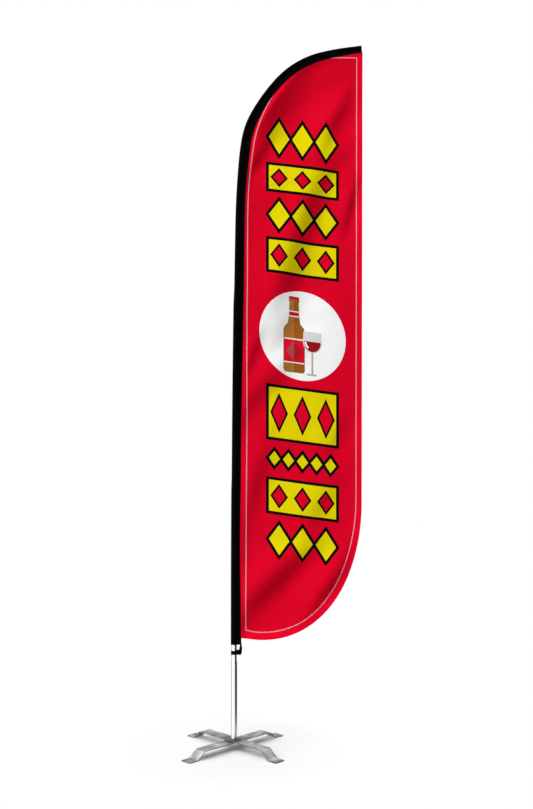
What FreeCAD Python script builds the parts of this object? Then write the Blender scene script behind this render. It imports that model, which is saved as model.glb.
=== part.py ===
import FreeCAD, Part
import math
import os

os.makedirs("parts", exist_ok=True)
V = FreeCAD.Vector
UP = V(0, 0, 1)

# Millimetres. Z is up from the floor, the origin is on the floor under the pole,
# and the flag flies towards +X with its face towards -Y.

# --- pole axis, in the XZ plane ------------------------------------------------
STRAIGHT_POLE = 714.0              # upright stretch from the floor
POLE_ARCS = [                      # (radius, turn in degrees), towards +X
    (134600.0, 1.0),               # faint lean
    (5250.0, 5.25),                # upper tube
    (450.0, 22.7),                 # root of the whip
    (1060.0, 13.6),
    (518.0, 34.1),                 # shoulder of the feather
    (1500.0, 8.8),                 # nearly level tip
]

# --- cross base ------------------------------------------------------------------
BAR_WIDTH = 76.0
BAR_THICK = 4.0
BAR_REACH = 378.0                  # from the crossing to a toe
KNEE_REACH = 262.0                 # where the bar starts down
FOOT_REACH = 318.0                 # where the foot starts
BAR_BEND = 26.0                    # radius of the bends, on the bar's middle
TOE_ROUND = 10.0
LOWER_BAR_Z = 42.0                 # underside of the flat stretch
WASHER_THICK = 1.0
RUNNING_GAP = 0.05                 # between faces that turn on each other
UPPER_BAR_Z = LOWER_BAR_Z + BAR_THICK + WASHER_THICK
HUB_Z = UPPER_BAR_Z + BAR_THICK
HUB_TOP = HUB_Z + 4.0
HUB_R = 40.0
PIVOT_WASHER_R = 30.0

# --- spindle ---------------------------------------------------------------------
AXLE_R = 6.0
AXLE_FOOT = 23.0
AXLE_TOP = 152.0
SHOULDER_R = 9.0
SHAFT_CHAMFER = 1.0
GROOVE_HIGH = 1.2                  # circlip groove, just above the upper bearing
GROOVE_DEEP = 0.6
CLIP_HIGH = 1.0
CLIP_MOUTH = 5.0
NUT_HIGH = 10.0
NUT_FLATS = 18.0
NUT_CHAMFER = 1.6                  # height of the cone that trims the nut's corners
PLAIN_WASHER = 2.0
PLAIN_WASHER_R = 12.0
SPRING_WASHER = 2.5
SPRING_WASHER_R = 10.0
SPRING_SPLIT = 1.2
SPLIT_ANGLE = 25.0
BEARING_R = 14.0
BEARING_HIGH = 8.0
LOW_BEARING_Z = HUB_TOP + 9.0
HIGH_BEARING_Z = 140.0
RACE_R = 10.0                      # circle through the ball centres
BALL_R = 2.38
BALL_COUNT = 8
BALL_PLAY = 0.1
RING_HALF = 1.4                    # from the ball circle to the edge of a bearing ring
ROTOR_R = 16.0
ROTOR_TOP = 185.0
FLANGE_Z = HUB_TOP + 2.0
FLANGE_HIGH = 3.0
FLANGE_R = 20.5
SEAT_PLAY = 0.02                   # radial play of a bearing in its seat
WAIST_WALL = 4.0                   # rotor's wall between its bearings
CAP_PLUG = 12.0
CAP_BRIM = 3.0
RING_CORD = 1.25                   # section of an O-ring
RING_HEIGHTS = (86.0, 168.0)

# --- pole tubes: radius, wall, and stations along the pole axis ---------------------
POLE_FOOT = FLANGE_Z + FLANGE_HIGH
BOTTOM_R, BOTTOM_TOP = 18.0, 508.0
LOWER_R, LOWER_TOP = 16.0, 1540.0
MIDDLE_R, MIDDLE_TOP = 14.2, 2600.0
UPPER_R, UPPER_TOP = 10.0, 3500.0
TIP_R, TIP_TOP = 6.0, 4508.0
TUBE_WALL = 1.5
UPPER_WALL = 3.5
PLUG_DEPTH = 120.0                 # length of one tube inside the next
SLIP = 0.2                         # radial play of a plugged joint
COLLAR_HIGH = 12.0                 # reducer bush above the end of the middle tube
FERRULE_HIGH = 43.0
FERRULE_WALL = 1.0
TIP_CAP_HIGH = 19.0
TIP_CAP_WALL = 1.6
TIP_CAP_END = 5.0                  # solid rubber beyond the end of the tip rod

# --- sleeve and flag -----------------------------------------------------------------
SLEEVE_FOOT = 607.0
SLEEVE_TOP = 4516.0
SLEEVE_SLACK = 3.0                 # sleeve's outer surface beyond the tube inside it
SLEEVE_LINING = 1.3                # play between the tube and the sleeve
CAP_PLAY = 0.2
PATCH_THICK = 2.2
SEAM_REACH = 38.0                  # from the pole axis to the seam
WEB_THICK = 2.4                    # two layers of sleeve cloth and the seam
PANEL_THICK = 0.8
PANEL_TOP_X = 753.0
PANEL_SIDE_X = 748.0
PANEL_SIDE_Z = 1434.0              # where the free edge starts to curve in
PANEL_FOOT_ARCS = [(1190.0, 20.5), (675.0, 23.2), (500.0, 54.0)]
SEW_GAP = 0.2

# --- tie strap and band ------------------------------------------------------------------
BAND_Z = 545.0
BAND_HIGH = 26.0
BAND_PINCH_X = 41.0                # where the two sides of the loop meet
BAND_PLAY = 0.4
PINCH_GAP = 0.6
WEBBING = 1.8
STRAP_OUTER = [(38.0, SLEEVE_FOOT - SEW_GAP), (46.5, 588.0), (48.0, BAND_Z + BAND_HIGH + SEW_GAP)]
STRAP_INNER = [(25.0, SLEEVE_FOOT - SEW_GAP), (33.0, 590.0), (34.5, BAND_Z + BAND_HIGH + SEW_GAP)]


def walk(x, z, heading, pieces):
    """Straight runs (radius 0, length) and clockwise arcs (radius, degrees) end to end."""
    path, s = [], 0.0
    for radius, amount in pieces:
        length = radius * math.radians(amount) if radius else amount
        path.append((s, length, x, z, heading, radius))
        s += length
        x, z, heading = place(path, s)
    return path


def place(path, s, side=0.0):
    """Point at station s, moved to the right by side, and the heading from +Z to +X."""
    piece = path[0]
    for later in path[1:]:
        if s >= later[0]:
            piece = later
    start, length, x, z, heading, radius = piece
    along = s - start
    inside = min(max(along, 0.0), length)
    turn = inside / radius if radius else 0.0
    if radius:
        x += radius * (math.cos(heading) - math.cos(heading + turn))
        z += radius * (math.sin(heading + turn) - math.sin(heading))
    beyond = along - inside if radius else along
    heading += turn
    x += beyond * math.sin(heading) + side * math.cos(heading)
    z += beyond * math.cos(heading) - side * math.sin(heading)
    return x, z, heading


def flat_point(path, s, side=0.0, y=0.0):
    x, z, _ = place(path, s, side)
    return V(x, y, z)


def run_edges(path, low, high, side=0.0, y=0.0):
    """Lines and arcs of the path between two stations, moved to the right by side."""
    end = path[-1][0] + path[-1][1]
    cuts = [low] + [p[0] for p in path if low < p[0] < high]
    cuts += [end] if low < end < high else []
    cuts.append(high)
    edges = []
    for a, b in zip(cuts, cuts[1:]):
        middle = (a + b) / 2
        radius = [p for p in path if p[0] <= middle][-1][5] if middle < end else 0
        first, last = flat_point(path, a, side, y), flat_point(path, b, side, y)
        if radius:
            edges.append(Part.Arc(first, flat_point(path, middle, side, y), last).toShape())
        else:
            edges.append(Part.LineSegment(first, last).toShape())
    return edges


POLE = walk(0.0, 0.0, 0.0, [(0, STRAIGHT_POLE)] + POLE_ARCS)


def rod(low, high, radius):
    """Round bar along the pole axis between two stations."""
    x, z, heading = place(POLE, low)
    circle = Part.Circle(V(x, 0, z), V(math.sin(heading), 0, math.cos(heading)), radius)
    spine = Part.Wire(run_edges(POLE, low, high))
    return spine.makePipeShell([Part.Wire([circle.toShape()])], True, True)


def tube(low, high, radius, bore):
    return rod(low, high, radius).cut(rod(low - 1.0, high + 1.0, bore))


def disc(radius, z, height, bore=0.0):
    solid = Part.makeCylinder(radius, height, V(0, 0, z))
    if bore:
        solid = solid.cut(Part.makeCylinder(bore, height + 2.0, V(0, 0, z - 1.0)))
    return solid


def slab(edges, thick):
    """Closed outline in the XZ plane, thickened evenly about Y = 0."""
    face = Part.Face(Part.Wire(Part.__sortEdges__(edges)))
    face.translate(V(0, -thick / 2, 0))
    return face.extrude(V(0, thick, 0))


def save(node, shape):
    shape = shape.removeSplitter() if len(shape.Solids) == 1 else shape
    shape.exportStep("parts/%s.step" % node)
    print(node, len(shape.Solids), shape.isValid(), round(shape.Volume))


# --- base -----------------------------------------------------------------------------------
def half_bar_path(flat_z):
    """Middle line of half a bar: level, down to the foot, level, with round bends."""
    high, low = flat_z + BAR_THICK / 2, BAR_THICK / 2
    slope = math.atan2(high - low, FOOT_REACH - KNEE_REACH)
    bend = BAR_BEND * math.tan(slope / 2)
    run = math.hypot(high - low, FOOT_REACH - KNEE_REACH) - 2 * bend
    return high, low, slope, bend, run


def bar_side(flat_z, lift):
    """Edges of one face of the bar from toe to toe, lift above the middle line."""
    high, low, slope, bend, run = half_bar_path(flat_z)
    knee, foot = BAR_BEND + lift, BAR_BEND - lift
    knee_x, foot_x = KNEE_REACH - bend, FOOT_REACH + bend
    knee_z, foot_z = high - BAR_BEND, low + BAR_BEND

    def on_knee(angle):
        return knee_x + knee * math.sin(angle), knee_z + knee * math.cos(angle)

    def on_foot(angle):
        return foot_x - foot * math.sin(angle), foot_z - foot * math.cos(angle)

    stations = [on_knee(0), on_knee(slope / 2), on_knee(slope),
                on_foot(slope), on_foot(slope / 2), on_foot(0), (BAR_REACH, low + lift)]
    right = [V(x, 0, z) for x, z in stations]
    left = [V(-x, 0, z) for x, z in stations]
    edges = [Part.LineSegment(left[0], right[0]).toShape()]
    for p in (right, left):
        edges.append(Part.Arc(p[0], p[1], p[2]).toShape())
        edges.append(Part.LineSegment(p[2], p[3]).toShape())
        edges.append(Part.Arc(p[3], p[4], p[5]).toShape())
        edges.append(Part.LineSegment(p[5], p[6]).toShape())
    return edges, left[6], right[6]


def cross_bar(flat_z, bearing, bore):
    """Bent flat bar with rounded toes, turned to its bearing in plan."""
    top, top_left, top_right = bar_side(flat_z, BAR_THICK / 2)
    under, under_left, under_right = bar_side(flat_z, -BAR_THICK / 2)
    ends = [Part.LineSegment(top_left, under_left).toShape(),
            Part.LineSegment(top_right, under_right).toShape()]
    bar = slab(top + under + ends, BAR_WIDTH)
    toes = [e for e in bar.Edges
            if abs(abs(e.CenterOfMass.x) - BAR_REACH) < 0.1
            and abs(e.tangentAt(e.FirstParameter).z) > 0.9]
    bar = bar.makeFillet(TOE_ROUND, toes)
    bar = bar.cut(Part.makeCylinder(bore, BAR_THICK + 2.0, V(0, 0, flat_z - 1.0)))
    bar.rotate(V(0, 0, 0), UP, bearing)
    return bar


def spindle_axle():
    """Shaft with a shoulder that carries the lower bearing, grooved for the circlip."""
    shaft = disc(AXLE_R, AXLE_FOOT, AXLE_TOP - AXLE_FOOT)
    shoulder = disc(SHOULDER_R, HUB_TOP, LOW_BEARING_Z - HUB_TOP)
    groove = disc(AXLE_R + 1.0, HIGH_BEARING_Z + BEARING_HIGH, GROOVE_HIGH, AXLE_R - GROOVE_DEEP)
    axle = shaft.fuse(shoulder).cut(groove)
    tips = [e for e in axle.Edges if abs(e.CenterOfMass.z - AXLE_TOP) < 0.01
            or abs(e.CenterOfMass.z - AXLE_FOOT) < 0.01]
    return axle.makeChamfer(SHAFT_CHAMFER, [e for e in tips if e.Length > AXLE_R])


def circlip():
    foot = HIGH_BEARING_Z + BEARING_HIGH + (GROOVE_HIGH - CLIP_HIGH) / 2
    ring = disc(AXLE_R + 2.2, foot, CLIP_HIGH, AXLE_R - GROOVE_DEEP + 0.1)
    mouth = Part.makeBox(2 * AXLE_R, CLIP_MOUTH, 3 * CLIP_HIGH, V(0, -CLIP_MOUTH / 2, foot - CLIP_HIGH))
    return ring.cut(mouth)


def washer_stack():
    """Plain washer, split spring washer and hexagon nut under the lower bar."""
    plain_z = LOWER_BAR_Z - PLAIN_WASHER
    spring_z = plain_z - SPRING_WASHER
    nut_z = spring_z - NUT_HIGH
    plain = disc(PLAIN_WASHER_R, plain_z, PLAIN_WASHER, AXLE_R + 0.3)
    spring = disc(SPRING_WASHER_R, spring_z, SPRING_WASHER, AXLE_R + 0.2)
    middle = spring_z + SPRING_WASHER / 2
    split = Part.makeBox(SPRING_WASHER_R, SPRING_SPLIT, 3 * SPRING_WASHER,
                         V(AXLE_R / 2, -SPRING_SPLIT / 2, middle - 1.5 * SPRING_WASHER))
    split.rotate(V(0, 0, middle), V(1, 0, 0), SPLIT_ANGLE)
    return plain, spring.cut(split), hexagon_nut(nut_z)


def hexagon_nut(z):
    """Nut whose corners are trimmed by a cone at each end, as turned nuts are."""
    corner = NUT_FLATS / math.sqrt(3.0)
    turns = [math.radians(60 * k) for k in range(7)]
    outline = Part.makePolygon([V(corner * math.cos(a), corner * math.sin(a), z) for a in turns])
    nut = Part.Face(outline).extrude(V(0, 0, NUT_HIGH))
    trimmed = corner - 1.0
    wide = trimmed + 2 * NUT_CHAMFER
    low_cone = Part.makeCone(trimmed, wide, NUT_CHAMFER, V(0, 0, z))
    high_cone = Part.makeCone(wide, trimmed, NUT_CHAMFER, V(0, 0, z + NUT_HIGH - NUT_CHAMFER))
    barrel = disc(wide, z + NUT_CHAMFER, NUT_HIGH - 2 * NUT_CHAMFER)
    return nut.common(low_cone.fuse(barrel).fuse(high_cone)).cut(disc(AXLE_R + 0.02, z - 1.0, NUT_HIGH + 2.0))


# --- bearings and rotor ------------------------------------------------------------------------
def bearing(z):
    """Inner ring, outer ring and balls of a deep-groove ball bearing standing at height z."""
    middle = z + BEARING_HIGH / 2
    groove = Part.makeTorus(RACE_R, BALL_R + BALL_PLAY, V(0, 0, middle), UP)
    inner = disc(RACE_R - RING_HALF, z, BEARING_HIGH, AXLE_R + 0.01).cut(groove)
    outer = disc(BEARING_R, z, BEARING_HIGH, RACE_R + RING_HALF).cut(groove)
    balls = []
    for k in range(BALL_COUNT):
        a = 2 * math.pi * k / BALL_COUNT
        balls.append(Part.makeSphere(BALL_R, V(RACE_R * math.cos(a), RACE_R * math.sin(a), middle)))
    return inner, outer, Part.makeCompound(balls)


def rotor_sleeve():
    """Spindle tube with a foot flange, two bearing seats and O-ring grooves."""
    body = disc(ROTOR_R, FLANGE_Z, ROTOR_TOP - FLANGE_Z)
    body = body.fuse(disc(FLANGE_R, FLANGE_Z, FLANGE_HIGH))
    seat = BEARING_R + SEAT_PLAY
    low_seat = disc(seat, FLANGE_Z - 1.0, LOW_BEARING_Z + BEARING_HIGH - FLANGE_Z + 1.0)
    high_seat = disc(seat, HIGH_BEARING_Z, ROTOR_TOP - HIGH_BEARING_Z + 1.0)
    waist = disc(ROTOR_R - WAIST_WALL, FLANGE_Z, ROTOR_TOP - FLANGE_Z)
    body = body.cut(low_seat).cut(high_seat).cut(waist)
    for z in RING_HEIGHTS:
        body = body.cut(disc(ROTOR_R + 1.0, z - 0.8, 1.6, ROTOR_R - 0.9))
    return body


def o_rings():
    minor = RING_CORD / 2
    return Part.makeCompound([
        Part.makeTorus(ROTOR_R - 0.88 + minor, minor, V(0, 0, z), UP) for z in RING_HEIGHTS])


def rotor_cap():
    """Plug with a thin brim that closes the rotor's top."""
    plug = disc(BEARING_R - 0.1, ROTOR_TOP - CAP_PLUG, CAP_PLUG)
    cap = plug.fuse(disc(ROTOR_R - 0.2, ROTOR_TOP, CAP_BRIM))
    rim = [e for e in cap.Edges if abs(e.CenterOfMass.z - ROTOR_TOP - CAP_BRIM) < 0.01]
    return cap.makeFillet(CAP_BRIM / 2, rim)


# --- pole ------------------------------------------------------------------------------------------
def pole_pieces():
    """Tubes plugged into each other, thinner towards the tip."""
    middle_foot = LOWER_TOP - PLUG_DEPTH
    upper_foot = MIDDLE_TOP - PLUG_DEPTH
    tip_foot = UPPER_TOP - PLUG_DEPTH
    bush_bore = UPPER_R + SLIP
    bush = tube(upper_foot, MIDDLE_TOP + SLIP, MIDDLE_R - TUBE_WALL - SLIP, bush_bore)
    collar = tube(MIDDLE_TOP + SLIP, MIDDLE_TOP + COLLAR_HIGH, MIDDLE_R, bush_bore)
    ferrule_top = UPPER_TOP - 2.0
    cap_top = TIP_TOP + TIP_CAP_END
    cap = rod(cap_top - TIP_CAP_HIGH, cap_top, TIP_R + TIP_CAP_WALL)
    cap = cap.cut(rod(cap_top - TIP_CAP_HIGH - 1.0, TIP_TOP + 0.1, TIP_R + 0.1))
    return {
        "bottom_tube": tube(POLE_FOOT, BOTTOM_TOP, BOTTOM_R, BOTTOM_R - TUBE_WALL),
        "lower_tube": tube(BOTTOM_TOP - PLUG_DEPTH, LOWER_TOP, LOWER_R, LOWER_R - TUBE_WALL),
        "middle_tube": tube(middle_foot, MIDDLE_TOP, MIDDLE_R, MIDDLE_R - TUBE_WALL),
        "reducer_bush": bush.fuse(collar),
        "upper_tube": tube(upper_foot, UPPER_TOP, UPPER_R, UPPER_R - UPPER_WALL),
        "tip_ferrule": tube(ferrule_top - FERRULE_HIGH, ferrule_top, UPPER_R + FERRULE_WALL, UPPER_R + 0.05),
        "tip_rod": rod(tip_foot, TIP_TOP, TIP_R),
        "tip_cap": cap,
    }


# --- soft pieces --------------------------------------------------------------------------------------
def sleeve():
    """Pole pocket: a round pocket that narrows with the tubes, and the flat strip to the seam."""
    collar_top = MIDDLE_TOP + COLLAR_HIGH + 2.0
    upper_end = UPPER_TOP + 2.0
    cap_foot = TIP_TOP + TIP_CAP_END - TIP_CAP_HIGH - 2.0
    steps = [(SLEEVE_FOOT, LOWER_TOP, LOWER_R), (LOWER_TOP, collar_top, MIDDLE_R),
             (collar_top, upper_end, UPPER_R), (upper_end, SLEEVE_TOP, TIP_R)]
    edges = run_edges(POLE, SLEEVE_FOOT, SLEEVE_TOP)
    edges += run_edges(POLE, SLEEVE_FOOT, SLEEVE_TOP, SEAM_REACH)
    for s in (SLEEVE_FOOT, SLEEVE_TOP):
        edges.append(Part.LineSegment(flat_point(POLE, s), flat_point(POLE, s, SEAM_REACH)).toShape())
    pocket = slab(edges, WEB_THICK)
    for low, high, radius in steps:
        pocket = pocket.fuse(rod(low, high, radius + SLEEVE_SLACK))
    for low, high, radius in steps:
        pocket = pocket.cut(rod(low - 0.5, min(high, cap_foot), radius + SLEEVE_LINING))
    cap_room = rod(cap_foot - 1.0, SLEEVE_TOP - 1.0, TIP_R + TIP_CAP_WALL + CAP_PLAY)
    return pocket.cut(cap_room)


def tip_patch():
    """Webbing sewn over the closed end of the sleeve."""
    return rod(SLEEVE_TOP + SEW_GAP, SLEEVE_TOP + SEW_GAP + PATCH_THICK, TIP_R + SLEEVE_SLACK)


def flag_panel():
    foot = walk(PANEL_SIDE_X, PANEL_SIDE_Z, math.pi, PANEL_FOOT_ARCS)
    foot_end = foot[-1][0] + foot[-1][1]
    reach = SEAM_REACH + SEW_GAP
    corner_x, corner_z, heading = place(foot, foot_end)
    run_home = (corner_x - reach) / -math.sin(heading)
    seam_foot = flat_point(foot, foot_end + run_home)
    seam_top = flat_point(POLE, SLEEVE_TOP, reach)
    free_top = V(PANEL_TOP_X, 0, seam_top.z)
    edges = run_edges(POLE, seam_foot.z, SLEEVE_TOP, reach)
    edges += run_edges(foot, 0.0, foot_end + run_home)
    edges.append(Part.LineSegment(seam_top, free_top).toShape())
    edges.append(Part.LineSegment(free_top, flat_point(foot, 0.0)).toShape())
    return slab(edges, PANEL_THICK)


def loop_outline(big, small, x, z):
    """Closed wire round two circles, one on the pole axis and one at x."""
    lean = math.acos((big - small) / x)
    c, s = math.cos(lean), math.sin(lean)
    a, b = V(big * c, big * s, z), V(x + small * c, small * s, z)
    d, e = V(x + small * c, -small * s, z), V(big * c, -big * s, z)
    return Part.Wire([Part.LineSegment(a, b).toShape(), Part.Arc(b, V(x + small, 0, z), d).toShape(),
                      Part.LineSegment(d, e).toShape(), Part.Arc(e, V(-big, 0, z), a).toShape()])


def tie_band():
    """Webbing loop round the tube, with its two sides brought together at the right."""
    bore = LOWER_R + BAND_PLAY
    outer = Part.Face(loop_outline(bore + WEBBING, PINCH_GAP + WEBBING, BAND_PINCH_X, BAND_Z))
    inner = Part.Face(loop_outline(bore, PINCH_GAP, BAND_PINCH_X, BAND_Z))
    return outer.cut(inner).extrude(V(0, 0, BAND_HIGH))


def tie_strap():
    """Short webbing that hangs from the sleeve's lower corner to the band."""
    outer = [V(x, 0, z) for x, z in STRAP_OUTER]
    inner = [V(x, 0, z) for x, z in STRAP_INNER]
    edges = [Part.Arc(*outer).toShape(), Part.Arc(*inner).toShape(),
             Part.LineSegment(outer[0], inner[0]).toShape(),
             Part.LineSegment(outer[2], inner[2]).toShape()]
    return slab(edges, WEBBING)


def hub_disc():
    disc_foot = HUB_Z + RUNNING_GAP
    hub = disc(HUB_R, disc_foot, HUB_TOP - disc_foot, AXLE_R + 0.2)
    rim = [e for e in hub.Edges if abs(e.CenterOfMass.z - HUB_TOP) < 0.01 and e.Length > 2 * HUB_R]
    return hub.makeFillet(1.5, rim)


save("lower_cross_bar", cross_bar(LOWER_BAR_Z, 45, AXLE_R + 0.2))
save("upper_cross_bar", cross_bar(UPPER_BAR_Z, -45, AXLE_R + 0.4))
save("pivot_washer", disc(PIVOT_WASHER_R, LOWER_BAR_Z + BAR_THICK, WASHER_THICK - RUNNING_GAP,
                          AXLE_R + 0.2))
save("hub_disc", hub_disc())
save("spindle_axle", spindle_axle())
for name, piece in zip(("flat_washer", "spring_washer", "axle_nut"), washer_stack()):
    save(name, piece)
for place_name, z in (("lower", LOW_BEARING_Z), ("upper", HIGH_BEARING_Z)):
    for name, piece in zip(("inner_ring", "outer_ring", "balls"), bearing(z)):
        save("%s_bearing_%s" % (place_name, name), piece)
spacer_z = LOW_BEARING_Z + BEARING_HIGH
save("bearing_spacer", disc(AXLE_R + 2.0, spacer_z, HIGH_BEARING_Z - spacer_z, AXLE_R + 0.1))
save("circlip", circlip())
save("rotor_sleeve", rotor_sleeve())
save("rotor_cap", rotor_cap())
save("o_rings", o_rings())
for name, piece in pole_pieces().items():
    save(name, piece)
save("sleeve", sleeve())
save("tip_patch", tip_patch())
save("flag_panel", flag_panel())
save("tie_strap", tie_strap())
save("tie_band", tie_band())
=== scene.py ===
import math

import bmesh
import bpy
import numpy as np
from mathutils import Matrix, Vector, geometry, noise
from mathutils.bvhtree import BVHTree


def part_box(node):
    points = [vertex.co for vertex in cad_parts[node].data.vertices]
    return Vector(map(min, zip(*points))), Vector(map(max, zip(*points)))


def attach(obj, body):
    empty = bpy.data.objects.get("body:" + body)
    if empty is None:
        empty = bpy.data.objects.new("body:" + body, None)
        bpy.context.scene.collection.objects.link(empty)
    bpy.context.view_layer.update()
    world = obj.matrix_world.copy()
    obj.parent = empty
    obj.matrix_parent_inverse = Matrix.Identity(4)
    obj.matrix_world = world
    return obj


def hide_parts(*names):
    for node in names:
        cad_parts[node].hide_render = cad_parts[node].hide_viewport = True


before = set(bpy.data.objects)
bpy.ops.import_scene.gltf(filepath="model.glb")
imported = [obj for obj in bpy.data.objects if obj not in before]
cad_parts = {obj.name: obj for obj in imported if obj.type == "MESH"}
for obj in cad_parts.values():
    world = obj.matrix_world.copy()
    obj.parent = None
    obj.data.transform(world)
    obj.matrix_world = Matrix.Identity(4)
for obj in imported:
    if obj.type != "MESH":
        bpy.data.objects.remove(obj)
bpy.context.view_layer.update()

PANEL_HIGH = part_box("flag_panel")[1]
SLEEVE_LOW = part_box("sleeve")[0]
TUBE_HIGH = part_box("lower_tube")[1]
BAND_LOW, BAND_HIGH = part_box("tie_band")

# --- sizes, in metres; a station is a distance along the pole's axis from the floor ---
STRAIGHT_POLE = 0.714
POLE_ARCS = [(134.6, 1.0), (5.25, 5.25), (0.450, 22.7), (1.060, 13.6), (0.518, 34.1), (1.5, 8.8)]
SEAM_FOOT = 0.60                   # a station just below the sleeve
SLEEVE_TOP = 4.516                 # station of the sleeve's closed end in the CAD
SLEEVE_END = SLEEVE_TOP + 0.001    # the cloth closes between the pole's cap and here
SLEEVE_CLOTH = 0.0007
LEAST_GAP = 0.0010                 # from the panel's middle to a wall of the sleeve
PANEL_SIDE_X, PANEL_SIDE_Z = 0.748, 1.434    # where the free edge starts to curve in
PANEL_FOOT_ARCS = [(1.190, 20.5), (0.675, 23.2), (0.500, 54.0)]
CLOTH = 0.0006                     # thickness of the printed cloth
TUCK = 0.012                       # how far the panel's edge runs into the sleeve's seam
GRID = 0.012                       # spacing of the panel's inner points
EDGE_STEP = 0.010                  # spacing of points along the outlines
COARSE = 0.030                     # spacing of the panel that is hung as cloth
CLOTH_FRAMES = 30
SAG_CAP = 0.020                    # most that hanging may move the folded cloth
SAG_SHARE = 0.3                    # share of that movement that the finished panel shows
SEAM_STIFF = 0.030                 # cloth this near the seam has weaker folds
HEM_STIFF = 0.070                  # and so has cloth this near the free edge
HEM_SIDE, HEM_FOOT, HEM_TOP = 0.034, 0.044, 0.023    # from the sheet's edges to the hem's stitching
HEM_PAST_STITCH = 0.003            # turned hem beyond its stitching
UNDER_SLEEVE = 0.006               # how far the hem's stitching runs in under the sleeve
HEM_BACK = 1.6 * CLOTH             # from the panel's middle back to that of the turned hem
STITCH_FOOT, STITCH_UNDER = 0.690, 3.98    # stations between which the side stitching is seen
STITCH_LIFT = 0.0002               # from the cloth's face to the middle of a thread


# --- the pole's line ---
def walk(x, z, heading, pieces):
    """Straight runs (radius 0, length) and clockwise arcs (radius, degrees) end to end."""
    path, s = [], 0.0
    for radius, amount in pieces:
        length = radius * math.radians(amount) if radius else amount
        path.append((s, length, x, z, heading, radius))
        s += length
        x, z, heading = place(path, s)
    return path


def place(path, s, side=0.0):
    """Point at station s, moved to the right by side, and the heading from +Z to +X."""
    piece = path[0]
    for later in path[1:]:
        if s >= later[0]:
            piece = later
    start, length, x, z, heading, radius = piece
    along = s - start
    bent = min(max(along, 0.0), length)
    turn = bent / radius if radius else 0.0
    if radius:
        x += radius * (math.cos(heading) - math.cos(heading + turn))
        z += radius * (math.sin(heading + turn) - math.sin(heading))
    beyond = along - bent if radius else along
    heading += turn
    x += beyond * math.sin(heading) + side * math.cos(heading)
    z += beyond * math.cos(heading) - side * math.sin(heading)
    return x, z, heading


POLE = walk(0.0, 0.0, 0.0, [(0, STRAIGHT_POLE)] + POLE_ARCS)
FOOT = walk(PANEL_SIDE_X, PANEL_SIDE_Z, math.pi, PANEL_FOOT_ARCS)
FOOT_END = FOOT[-1][0] + FOOT[-1][1]


def blend_table(s, table):
    """Smooth value at s from a few (place, value) pairs; constant outside them."""
    if s <= table[0][0]:
        return table[0][1]
    for (a, at_a), (b, at_b) in zip(table, table[1:]):
        if s <= b:
            t = (s - a) / (b - a)
            return at_a + (at_b - at_a) * t * t * (3 - 2 * t)
    return table[-1][1]


def seam_reach(s):
    """Distance from the pole's axis to the edge of the sleeve's flat strip."""
    return blend_table(s, [(0.62, 0.0425), (0.72, 0.0400), (1.15, 0.0340), (1.7, 0.0365),
                           (2.7, 0.0430), (3.25, 0.0410), (3.65, 0.0490), (3.9, 0.0425),
                           (4.15, 0.044), (4.4, 0.037), (4.51, 0.032)])


def pocket_radius(s):
    """Radius of the sleeve round the tube inside it."""
    return blend_table(s, [(1.5, 0.019), (1.6, 0.017), (2.58, 0.017), (2.72, 0.0135),
                           (3.46, 0.013), (3.6, 0.0095), (4.5, 0.0085)])


# --- materials ---
def new_material(name):
    material = bpy.data.materials.new(name)
    material.use_nodes = True
    nodes, links = material.node_tree.nodes, material.node_tree.links
    return material, nodes, links, nodes["Principled BSDF"]


def mapped(nodes, links, scale, turn=0.0):
    """Object coordinates, turned about Z and then scaled."""
    coords = nodes.new("ShaderNodeTexCoord")
    rotate = nodes.new("ShaderNodeVectorRotate")
    rotate.rotation_type = "Z_AXIS"
    rotate.inputs["Angle"].default_value = turn
    mapping = nodes.new("ShaderNodeMapping")
    mapping.inputs["Scale"].default_value = scale
    links.new(coords.outputs["Object"], rotate.inputs["Vector"])
    links.new(rotate.outputs["Vector"], mapping.inputs["Vector"])
    return mapping.outputs["Vector"]


def plain(nodes, links):
    return mapped(nodes, links, (1, 1, 1))


def noise_node(nodes, links, vector, scale, detail=4.0):
    node = nodes.new("ShaderNodeTexNoise")
    node.inputs["Scale"].default_value = scale
    node.inputs["Detail"].default_value = detail
    links.new(vector, node.inputs["Vector"])
    return node.outputs["Fac"]


def ramp(nodes, links, value, low, high, a, b):
    node = nodes.new("ShaderNodeMapRange")
    node.inputs["From Min"].default_value = low
    node.inputs["From Max"].default_value = high
    node.inputs["To Min"].default_value = a
    node.inputs["To Max"].default_value = b
    links.new(value, node.inputs["Value"])
    return node.outputs["Result"]


def from_origin(nodes, links):
    """Distance from the object's origin."""
    coords = nodes.new("ShaderNodeTexCoord")
    reach = nodes.new("ShaderNodeVectorMath")
    reach.operation = "LENGTH"
    links.new(coords.outputs["Object"], reach.inputs[0])
    return reach.outputs["Value"]


def weighted(nodes, links, a, share_a, b, share_b):
    """a * share_a + b * share_b."""
    return combine(nodes, links, "ADD", combine(nodes, links, "MULTIPLY", a, share_a),
                   combine(nodes, links, "MULTIPLY", b, share_b))


def combine(nodes, links, operation, a, b):
    node = nodes.new("ShaderNodeMath")
    node.operation = operation
    for socket, value in zip(node.inputs, (a, b)):
        if isinstance(value, (int, float)):
            socket.default_value = value
        else:
            links.new(value, socket)
    return node.outputs["Value"]


def tint(nodes, links, value, dark, light):
    node = nodes.new("ShaderNodeMix")
    node.data_type = "RGBA"
    node.inputs["A"].default_value = (*dark, 1)
    node.inputs["B"].default_value = (*light, 1)
    links.new(value, node.inputs["Factor"])
    return node.outputs["Result"]


def bump(nodes, links, height, strength, distance, shader):
    node = nodes.new("ShaderNodeBump")
    node.inputs["Strength"].default_value = strength
    node.inputs["Distance"].default_value = distance
    links.new(height, node.inputs["Height"])
    links.new(node.outputs["Normal"], shader.inputs["Normal"])


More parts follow.
